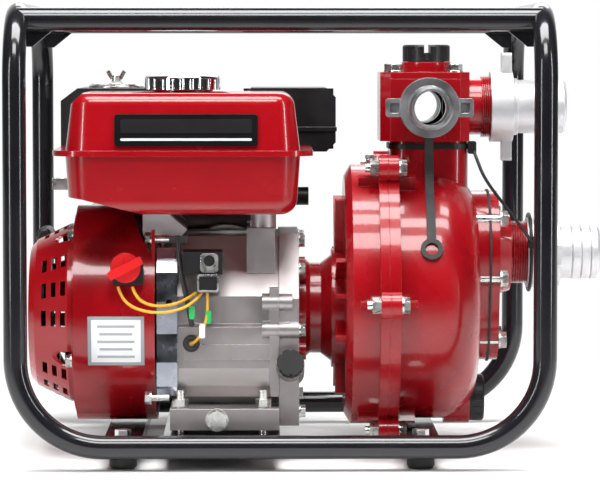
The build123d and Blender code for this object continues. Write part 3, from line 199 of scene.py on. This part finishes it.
def satin_black():
    return finish_material(
        "satin_black_paint", (0.008, 0.008, 0.009), 0.36, specular=0.3, mottle=0.15, grain_mm=1.6,
        bump_mm=0.03, rough_vary=0.1, wear_and_highlight_color=(0.10, 0.10, 0.10),
    )


def black_plastic():
    return finish_material(
        "moulded_black", (0.008, 0.008, 0.009), 0.42, specular=0.35, mottle=0.1, grain_mm=0.9, bump_mm=0.03,
        rough_vary=0.06, edge_mm=0.5, wear_and_highlight_color=(0.05, 0.05, 0.05),
    )


def rubber():
    return finish_material(
        "black_rubber", (0.018, 0.017, 0.016), 0.68, mottle=0.2, grain_mm=0.7, bump_mm=0.04,
        rough_vary=0.12, edge_mm=0.6,
    )


def cast_aluminium():
    return finish_material(
        "cast_aluminium", (0.33, 0.305, 0.303), 0.40, metallic=0.8, mottle=0.10, mottle_scale=30.0,
        grain_mm=1.1, bump_mm=0.07, rough_vary=0.1, edge_mm=0.9, wear_and_highlight_color=(0.7, 0.69, 0.67),
        wear_and_highlight_amount=0.6, dark=0.8,
    )


def blasted_aluminium():
    return finish_material(
        "blasted_aluminium", (0.60, 0.60, 0.61), 0.52, metallic=0.75, mottle=0.12,
        mottle_scale=60.0, grain_mm=0.7, bump_mm=0.05, rough_vary=0.08, edge_mm=0.8,
        wear_and_highlight_color=(0.85, 0.85, 0.86), wear_and_highlight_amount=0.6, dark=0.86,
    )


def dark_alloy():
    return finish_material(
        "dark_alloy", (0.25, 0.25, 0.26), 0.45, metallic=0.8, mottle=0.2, mottle_scale=60.0,
        grain_mm=0.8, bump_mm=0.06, rough_vary=0.1, edge_mm=0.8, wear_and_highlight_color=(0.6, 0.6, 0.6),
        wear_and_highlight_amount=0.7, dark=0.75,
    )


def zinc_plate():
    return finish_material(
        "zinc_plate", (0.62, 0.62, 0.60), 0.30, metallic=1.0, mottle=0.22, mottle_scale=120.0,
        grain_mm=0.8, bump_mm=0.015, rough_vary=0.12, edge_mm=0.4, stretch=(1, 1, 0.1), dark=0.78,
    )


def painted_shade_zinc():
    """Zinc made darker and bluish for the pressed side plate: painted shade, standing in for the dark
    reflection across its middle.
    """
    return finish_material(
        "painted_shade_zinc_plate", (0.34, 0.36, 0.41), 0.24, metallic=1.0, mottle=0.15, mottle_scale=60.0,
        grain_mm=1.2, bump_mm=0.02, rough_vary=0.08, edge_mm=0.6, dark=0.75,
    )


def chrome():
    return finish_material(
        "chrome_plate", (0.82, 0.83, 0.85), 0.07, metallic=1.0, mottle=0.05, grain_mm=5.0,
        bump_mm=0.01, rough_vary=0.03, edge_mm=0.6, dark=0.92,
    )


def turned_steel():
    return finish_material(
        "turned_steel", (0.5, 0.5, 0.5), 0.32, metallic=1.0, mottle=0.15, mottle_scale=80.0,
        grain_mm=0.6, bump_mm=0.02, stretch=(6, 0.4, 0.4), dark=0.8,
    )


def cast_iron():
    return finish_material(
        "cast_iron", (0.16, 0.155, 0.15), 0.6, metallic=0.7, mottle=0.25, mottle_scale=50.0,
        grain_mm=1.3, bump_mm=0.12, rough_vary=0.1, edge_mm=0.8, wear_and_highlight_color=(0.35, 0.34, 0.33),
    )


def knob_red():
    return finish_material(
        "knob_red", (0.62, 0.010, 0.012), 0.3, coat=0.3, mottle=0.05, grain_mm=1.2, bump_mm=0.01,
        rough_vary=0.04, edge_mm=0.6, dark=0.9,
    )


def insulation(name, color):
    """The plastic of a lead or its connector."""
    return finish_material(
        name, color, 0.38, mottle=0.1, mottle_scale=90.0, grain_mm=2.0, bump_mm=0.03,
        rough_vary=0.06, edge_mm=0.3, dark=0.86,
    )


def label_material(name, color, rough=0.35):
    return finish_material(
        name, color, rough, specular=0.2, mottle=0.04, mottle_scale=30.0, grain_mm=4.0, bump_mm=0.01,
        rough_vary=0.04, edge_mm=0.2, dark=0.94,
    )


RED = red_paint()
RED_CAST = red_cast_paint()
BLASTED = blasted_aluminium()
BLACK_PLASTIC = black_plastic()
RUBBER = rubber()
ZINC = zinc_plate()

SLOT_MATERIALS = {
    "frame_black": frame_paint(),
    "plate_black": frame_paint(),
    "rubber": RUBBER,
    "red_paint": RED,
    "black_paint": satin_black(),
    "cast_aluminium": cast_aluminium(),
    "bright_aluminium": BLASTED,
    "zinc": ZINC,
    "chrome": chrome(),
    "black_plastic": BLACK_PLASTIC,
    "red_plastic": knob_red(),
    "wire": insulation("lead_yellow", (0.72, 0.38, 0.02)),
    "cast_iron": cast_iron(),
    "steel": turned_steel(),
}
CAST_RED_NODES = (
    "pump_casing",
    "pump_back_cover",
    "pump_adapter",
    "suction_cover",
    "discharge_box",
    "box_cover",
)


def paint_cad():
    """Every CAD node gets the material of its slot in the record, or the one listed for it here."""
    special = {name: RED_CAST for name in CAST_RED_NODES}
    special["front_nut"] = dark_alloy()
    special["side_tails"] = special["front_nut"]
    # The side plate gets a darker copy of the zinc: painted shade.
    special["side_plate"] = painted_shade_zinc()
    for row in frame["record"]["subparts"]:
        node = NODES[row["node"]]
        chosen = special.get(row["node"], SLOT_MATERIALS[row["material_slot"]])
        if not node.material_slots:
            node.data.materials.append(chosen)
        for holder in node.material_slots:
            holder.material = chosen


# --------------------------------------------------------------- pieces


def new_object(name, mesh, material, body=MAIN):
    """A named piece that rides on a body, which is the pump's main one unless given."""
    piece = bpy.data.objects.new(name, mesh)
    bpy.context.collection.objects.link(piece)
    piece.data.materials.append(material)
    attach(piece, body)
    return piece


def mesh_from(name, verts, faces):
    mesh = bpy.data.meshes.new(name)
    mesh.from_pydata([tuple(v) for v in verts], [], faces)
    mesh.update()
    return mesh


def face_outwards(mesh):
    """Turn every face of a closed mesh outwards."""
    made = bmesh.new()
    made.from_mesh(mesh)
    bmesh.ops.recalc_face_normals(made, faces=made.faces)
    made.to_mesh(mesh)
    made.free()


def rounded_outline(width, height, corner, steps=6):
    """A rounded rectangle about the origin, as (u, v) pairs."""
    points = []
    for cx, cy, start in ((1, 1, 0), (-1, 1, 90), (-1, -1, 180), (1, -1, 270)):
        for i in range(steps + 1):
            a = math.radians(start + 90 * i / steps)
            points.append(
                (
                    cx * (width / 2 - corner) + corner * math.cos(a),
                    cy * (height / 2 - corner) + corner * math.sin(a),
                )
            )
    return points


def slab(name, outline, place, thick, material, bevel=0.0):
    """A thin plate: the outline in the XZ plane, its back at place and its face towards -Y."""
    count = len(outline)
    verts = [(u, 0, v) for u, v in outline] + [(u, -thick, v) for u, v in outline]
    faces = [list(range(count)), list(range(2 * count - 1, count - 1, -1))]
    faces += [[i, count + i, count + (i + 1) % count, (i + 1) % count] for i in range(count)]
    mesh = mesh_from(name, [Matrix(place) @ Vector(v) for v in verts], faces)
    face_outwards(mesh)
    piece = new_object(name, mesh, material)
    if bevel:
        soften = piece.modifiers.new("soften", "BEVEL")
        soften.width = bevel
        soften.segments = 2
    return piece


def nurbs_line(name, points, radius, material, replaced=()):
    """A smooth round lead: a NURBS curve whose control points are the route's points."""
    curve = bpy.data.curves.new(name, "CURVE")
    curve.dimensions = "3D"
    spline = curve.splines.new("NURBS")
    spline.points.add(len(points) - 1)
    for point, place in zip(spline.points, points):
        point.co = (*place, 1)
    spline.order_u = 3
    spline.use_endpoint_u = True
    spline.resolution_u = 16
    curve.bevel_depth = radius
    curve.bevel_resolution = 5
    curve.use_fill_caps = True
    piece = new_object(name, curve, material)
    if replaced:
        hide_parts(*replaced)
    return piece


def mm(points):
    return [tuple(c * MM for c in point) for point in points]


# The lanyard from the band on the delivery neck to its ring on the suction union.
LANYARD_ROUTE = mm([
    (154, -60, 285),
    (157, -68, 276),
    (162, -74, 262),
    (171, -78, 248),
    (182, -79.5, 234),
    (193, -78, 220),
    (202, -73.5, 208),
    (208, -67.5, 200),
])
LANYARD_D = 3.0 * MM


def ring_mesh(name, centre, turn, radius, tube, material):
    """A closed ring of round section about an axis."""
    mesh = bpy.data.meshes.new(name)
    made = bmesh.new()
    turns, sides = 48, 12
    place = Matrix.Translation(centre) @ turn
    rows = []
    for i in range(turns):
        a = 2 * math.pi * i / turns
        row = []
        for j in range(sides):
            b = 2 * math.pi * j / sides
            r = radius + tube * math.cos(b)
            point = Vector((r * math.cos(a), r * math.sin(a), tube * math.sin(b)))
            row.append(made.verts.new(place @ point))
        rows.append(row)
    for i in range(turns):
        for j in range(sides):
            k, m = (i + 1) % turns, (j + 1) % sides
            face = made.faces.new((rows[i][j], rows[k][j], rows[k][m], rows[i][m]))
            face.smooth = True
    bmesh.ops.recalc_face_normals(made, faces=made.faces)
    made.to_mesh(mesh)
    made.free()
    return new_object(name, mesh, material)


def loop_band(name, outline, low, high, thick, material):
    """A flat strap round a neck: the outline grown by its thickness, from low to high Z."""
    mesh = bpy.data.meshes.new(name)
    made = bmesh.new()
    cx = sum(p[0] for p in outline) / len(outline)
    cy = sum(p[1] for p in outline) / len(outline)
    rings = []
    for grow, z in ((0, low), (thick, low), (thick, high), (0, high)):
        ring = []
        for x, y in outline:
            away = Vector((x - cx, y - cy)).normalized() * grow
            ring.append(made.verts.new((x + away.x, y + away.y, z)))
        rings.append(ring)
    count = len(outline)
    for i in range(4):
        for j in range(count):
            k = (j + 1) % count
            made.faces.new((rings[i][j], rings[i][k], rings[(i + 1) % 4][k], rings[(i + 1) % 4][j]))
    bmesh.ops.recalc_face_normals(made, faces=made.faces)
    made.to_mesh(mesh)
    made.free()
    return new_object(name, mesh, material)


def lanyard():
    """The tether, its band and clasp on the neck, and the ring round the suction union."""
    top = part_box("pump_casing")[1][2]
    neck_x, neck_y = 0.113, -0.030
    outline = [(neck_x + u, neck_y + v) for u, v in rounded_outline(0.0738, 0.0768, 0.0183, 8)]
    loop_band("neck_band", outline, top - 0.0075, top - 0.0025, 0.0013, BLACK_PLASTIC)
    start = Vector(LANYARD_ROUTE[0])
    clasp_outline = rounded_outline(0.008, 0.012, 0.002)
    clasp_place = Matrix.Translation(start + Vector((-0.0012, -0.003, 0.002)))
    clasp = slab("band_clasp", clasp_outline, clasp_place, -0.007, BLACK_PLASTIC, 0.0006)
    cord = nurbs_line("lanyard", LANYARD_ROUTE, LANYARD_D / 2, BLACK_PLASTIC, replaced=["lanyard_cord"])
    ring_mesh(
        "lanyard_ring", Vector((0.2085, -0.030, 0.1874)), Matrix.Rotation(math.radians(90), 4, "Y"),
        0.0358, 0.0017, BLACK_PLASTIC,
    )
    tab = slab(
        "lanyard_tab", rounded_outline(0.007, 0.012, 0.003),
        Matrix.Translation(Vector(LANYARD_ROUTE[-1]) + Vector((0.0005, 0.0035, -0.0015))), 0.004,
        BLACK_PLASTIC, 0.0006,
    )


# Leads of the switch, the low-oil module and the oil sensor.
LEAD_YELLOW = (0.72, 0.38, 0.02)
LEADS = {
    "lead_switch": (1.4, LEAD_YELLOW, mm([
        (-174, -131, 162), (-171, -135, 153), (-162, -137, 144.5), (-149, -138.5, 140),
        (-134, -140, 139), (-119, -140.5, 141.5), (-106, -136, 147.5), (-98, -129, 156.4),
    ])),
    "lead_module": (1.5, LEAD_YELLOW, mm([
        (-161, -131, 162), (-158, -134, 153.5), (-149, -136, 147), (-137, -136.5, 144.5),
        (-124, -135, 146), (-112, -131, 150.5), (-103, -125, 156.4),
    ])),
    "lead_sleeve": (2.4, (0.015, 0.015, 0.015), mm([
        (-120, -118, 208), (-119, -122, 190), (-116, -125, 172), (-111, -124, 148),
        (-107, -121, 126),
    ])),
    "lead_sensor": (1.4, LEAD_YELLOW, mm([
        (-93, -127, 156.5), (-92, -128, 140), (-96, -129, 124), (-103, -126, 111),
        (-108, -117.5, 109),
    ])),
}


def leads():
    """The engine's leads in their colours, with their connectors and the sensor's grommet."""
    first = True
    for name, (radius, color, route) in LEADS.items():
        skin = insulation(name + "_skin", color)
        nurbs_line(name, route, radius * MM, skin, replaced=["engine_wires"] if first else ())
        first = False
    green = insulation("connector_green", (0.02, 0.42, 0.10))
    sleeve = insulation("connector_clear", (0.72, 0.74, 0.70))
    spots = [
        ("connector_left", green, (-107.0, -127.0, 138.5), 5.2, 12, 5),
        ("connector_right", green, (-91.8, -124.6, 134.0), 5.2, 12, 5),
        ("connector_sleeve", sleeve, (-97.6, -124.8, 121.5), 5.4, 13, 6),
    ]
    for name, skin, place, width, height, depth in spots:
        outline = rounded_outline(width * MM, height * MM, 1.4 * MM)
        spot = Matrix.Translation(Vector(place) * MM)
        slab(name, outline, spot, depth * MM, skin, 0.0005)
    ring_mesh(
        "sensor_grommet", Vector((-0.1078, -0.1172, 0.109)), Matrix.Rotation(math.radians(90), 4, "X"),
        0.0052, 0.0026, RUBBER,
    )


def labels():
    """Plain plates where the object carries printed ones: shapes and bands, with no lettering."""
    low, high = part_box("fuel_tank")
    middle_x = (low[0] + high[0]) / 2
    front = -0.1651
    lean = math.radians(7)
    place = Matrix.Translation((middle_x + 0.0035, front + 0.0010, 0.3055))
    place = place @ Matrix.Rotation(-lean, 4, "X")
    plate_t = 0.0009
    black = label_material("plate_black", (0.003, 0.003, 0.0035))
    slab("name_plate", rounded_outline(0.129, 0.029, 0.003), place, plate_t, black, 0.0002)
    bands = [
        ("name_plate_stripe", -0.0085, 0.0022, 0.001, "plate_silver", (0.60, 0.60, 0.62)),
        ("name_plate_field", 0.0035, 0.0125, 0.0015, "plate_grey", (0.010, 0.010, 0.011)),
    ]
    for name, rise, height, corner, skin, color in bands:
        spot = place @ Matrix.Translation((0, -plate_t, rise))
        slab(name, rounded_outline(0.118, height, corner), spot, 0.0003, label_material(skin, color))


def curved_label():
    """The grey-edged sheet stuck round the fan housing's front."""
    centre_y, centre_z, radius = -0.030, 0.131, 0.1013
    parts = [
        ("notice_edge", 0.0516, 0.0465, 0.0, label_material("notice_grey", (0.30, 0.31, 0.33))),
        ("notice_field", 0.0452, 0.0401, 0.0003, label_material("notice_white", (0.74, 0.75, 0.76))),
    ]
    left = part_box("blower_housing")[0][0] + 0.0135
    for name, width, height, lift, skin in parts:
        curved_patch(name, left + 0.0258, width, 0.112, height, centre_y, centre_z, radius + lift, skin)
    bar = label_material("notice_bar", (0.35, 0.36, 0.38))
    for i in range(5):
        curved_patch(
            f"notice_bar_{i}", left + 0.0258, 0.034 - 0.004 * (i % 2), 0.126 - 0.007 * i, 0.0022,
            centre_y, centre_z, radius + 0.0006, bar,
        )


def curved_patch(name, mid_x, width, mid_z, height, cy, cz, radius, skin):
    """A thin patch that follows a drum about an X axis, on its -Y side."""
    turn = math.asin((mid_z - cz) / radius)
    half = height / radius / 2
    columns, rows, thick = 8, 10, 0.0005
    made = bmesh.new()
    layers = []
    for r in (radius, radius + thick):
        grid = []
        for i in range(rows + 1):
            a = turn - half + 2 * half * i / rows
            y, z = cy - r * math.cos(a), cz + r * math.sin(a)
            xs = [mid_x + width * (j / columns - 0.5) for j in range(columns + 1)]
            grid.append([made.verts.new((x, y, z)) for x in xs])
        layers.append(grid)
    inner, outer = layers
    for i in range(rows):
        for j in range(columns):
            for grid in layers:
                made.faces.new((grid[i][j], grid[i][j + 1], grid[i + 1][j + 1], grid[i + 1][j]))
    for i in range(rows):
        for j in (0, columns):
            made.faces.new((inner[i][j], inner[i + 1][j], outer[i + 1][j], outer[i][j]))
    for j in range(columns):
        for i in (0, rows):
            made.faces.new((inner[i][j], inner[i][j + 1], outer[i][j + 1], outer[i][j]))
    bmesh.ops.recalc_face_normals(made, faces=made.faces)
    mesh = bpy.data.meshes.new(name)
    made.to_mesh(mesh)
    made.free()
    return new_object(name, mesh, skin)


def alert_trim():
    """The bright rim round the low-oil module's face and the plated tab of its bracket."""
    face = Matrix.Translation(Vector((-0.092, -0.136, 0.1658)))
    outer = rounded_outline(0.0198, 0.0162, 0.0022)
    inner = rounded_outline(0.0164, 0.0128, 0.0014)
    count = len(outer)
    verts = []
    for depth, ring in ((0.0, outer), (0.0, inner), (-0.0012, outer), (-0.0012, inner)):
        verts += [face @ Vector((u, depth, v)) for u, v in ring]
    faces = []
    for i in range(count):
        k = (i + 1) % count
        for a, b in ((0, 1), (1, 3), (3, 2), (2, 0)):
            faces.append([a * count + i, a * count + k, b * count + k, b * count + i])
    mesh = mesh_from("alert_rim", verts, faces)
    face_outwards(mesh)
    new_object("alert_rim", mesh, ZINC)
    slab("alert_tab", rounded_outline(0.0165, 0.018, 0.004),
         Matrix.Translation(Vector((-0.091, -0.1311, 0.1838))), 0.0007, ZINC, 0.0002)


# ---------------------------------------------------------------- stage


def floor():
    half = 6.0
    corners = [(-half, -half, 0), (half, -half, 0), (half, half, 0), (-half, half, 0)]
    mesh = mesh_from("floor", corners, [[0, 1, 2, 3]])
    plane = bpy.data.objects.new("floor", mesh)
    bpy.context.collection.objects.link(plane)
    made, tree, shader = principled("pale_floor")
    coords = tree.nodes.new("ShaderNodeTexCoord").outputs["Object"]
    cloud = noise(tree, coords, 3.0)
    split = tree.nodes.new("ShaderNodeSeparateXYZ")
    tree.links.new(coords, split.inputs["Vector"])
    pale = mixed(tree, cloud, (0.86, 0.86, 0.86), (0.88, 0.88, 0.88))
    # Painted shade: the floor darkens to grey 0.16 from 0.36 m to 0.85 m in front of the object, so the
    # floor the object reflects in front is dark.
    front = ranged(tree, split.outputs["Y"], -0.85, -0.36, 0.0, 1.0)
    tree.links.new(mixed(tree, front, (0.16, 0.16, 0.165), pale), shader.inputs["Base Color"])
    shader.inputs["Roughness"].default_value = 0.7
    fade = ranged(tree, split.outputs["Y"], 0.25, 0.8, 0.0, 1.0)
    glow = tree.nodes.new("ShaderNodeEmission")
    glow.inputs["Color"].default_value = (1, 1, 1, 1)
    blend = tree.nodes.new("ShaderNodeMixShader")
    tree.links.new(fade, blend.inputs[0])
    tree.links.new(shader.outputs["BSDF"], blend.inputs[1])
    tree.links.new(glow.outputs["Emission"], blend.inputs[2])
    tree.links.new(blend.outputs["Shader"], tree.nodes["Material Output"].inputs["Surface"])
    mesh.materials.append(made)


def soft_box(name, place, target, width, height, power):
    lamp = bpy.data.lights.new(name, "AREA")
    lamp.shape = "RECTANGLE"
    lamp.size, lamp.size_y, lamp.energy = width, height, power
    holder = bpy.data.objects.new(name, lamp)
    bpy.context.collection.objects.link(holder)
    holder.location = place
    holder.rotation_euler = (Vector(target) - Vector(place)).to_track_quat("-Z", "Y").to_euler()


def lights():
    """Soft boxes over and beside the object, and a room that is bright behind it."""
    middle = (0, 0, 0.2)
    soft_box("top_box", (0.0, -0.35, 1.7), middle, 1.5, 0.7, 58)
    soft_box("left_strip", (-1.5, -1.5, 0.7), middle, 0.14, 1.5, 17)
    soft_box("right_strip", (1.5, -1.1, 0.7), middle, 0.12, 1.5, 14)
    soft_box("front_box", (-0.1, -2.0, 2.6), middle, 1.4, 0.8, 60)
    soft_box("back_box", (0.2, 2.2, 1.5), middle, 1.6, 0.8, 14)
    world = bpy.data.worlds.new("room")
    bpy.context.scene.world = world
    world.use_nodes = True
    tree = world.node_tree
    direction = tree.nodes.new("ShaderNodeTexCoord").outputs["Generated"]
    split = tree.nodes.new("ShaderNodeSeparateXYZ")
    tree.links.new(direction, split.inputs["Vector"])
    glow = ranged(tree, split.outputs["Y"], 0.55, 0.97, 0.03, 1.0)
    shade = tree.nodes.new("ShaderNodeCombineColor")
    for key in ("Red", "Green", "Blue"):
        tree.links.new(glow, shade.inputs[key])
    background = tree.nodes["Background"]
    tree.links.new(shade.outputs["Color"], background.inputs["Color"])
    background.inputs["Strength"].default_value = 1.0


def camera():
    lens = bpy.data.cameras.new("camera")
    lens.lens = 187.9
    lens.sensor_width = 36.0
    lens.clip_end = 50
    holder = bpy.data.objects.new("camera", lens)
    bpy.context.collection.objects.link(holder)
    holder.location = (-0.0436, -2.977, 0.373)
    holder.rotation_euler = (math.radians(90 - 3.4), 0, math.radians(-0.71))
    bpy.context.scene.camera = holder


camera()
paint_cad()
lanyard()
leads()
labels()
curved_label()
alert_trim()
floor()
lights()
bpy.context.scene.view_settings.view_transform = "Standard"
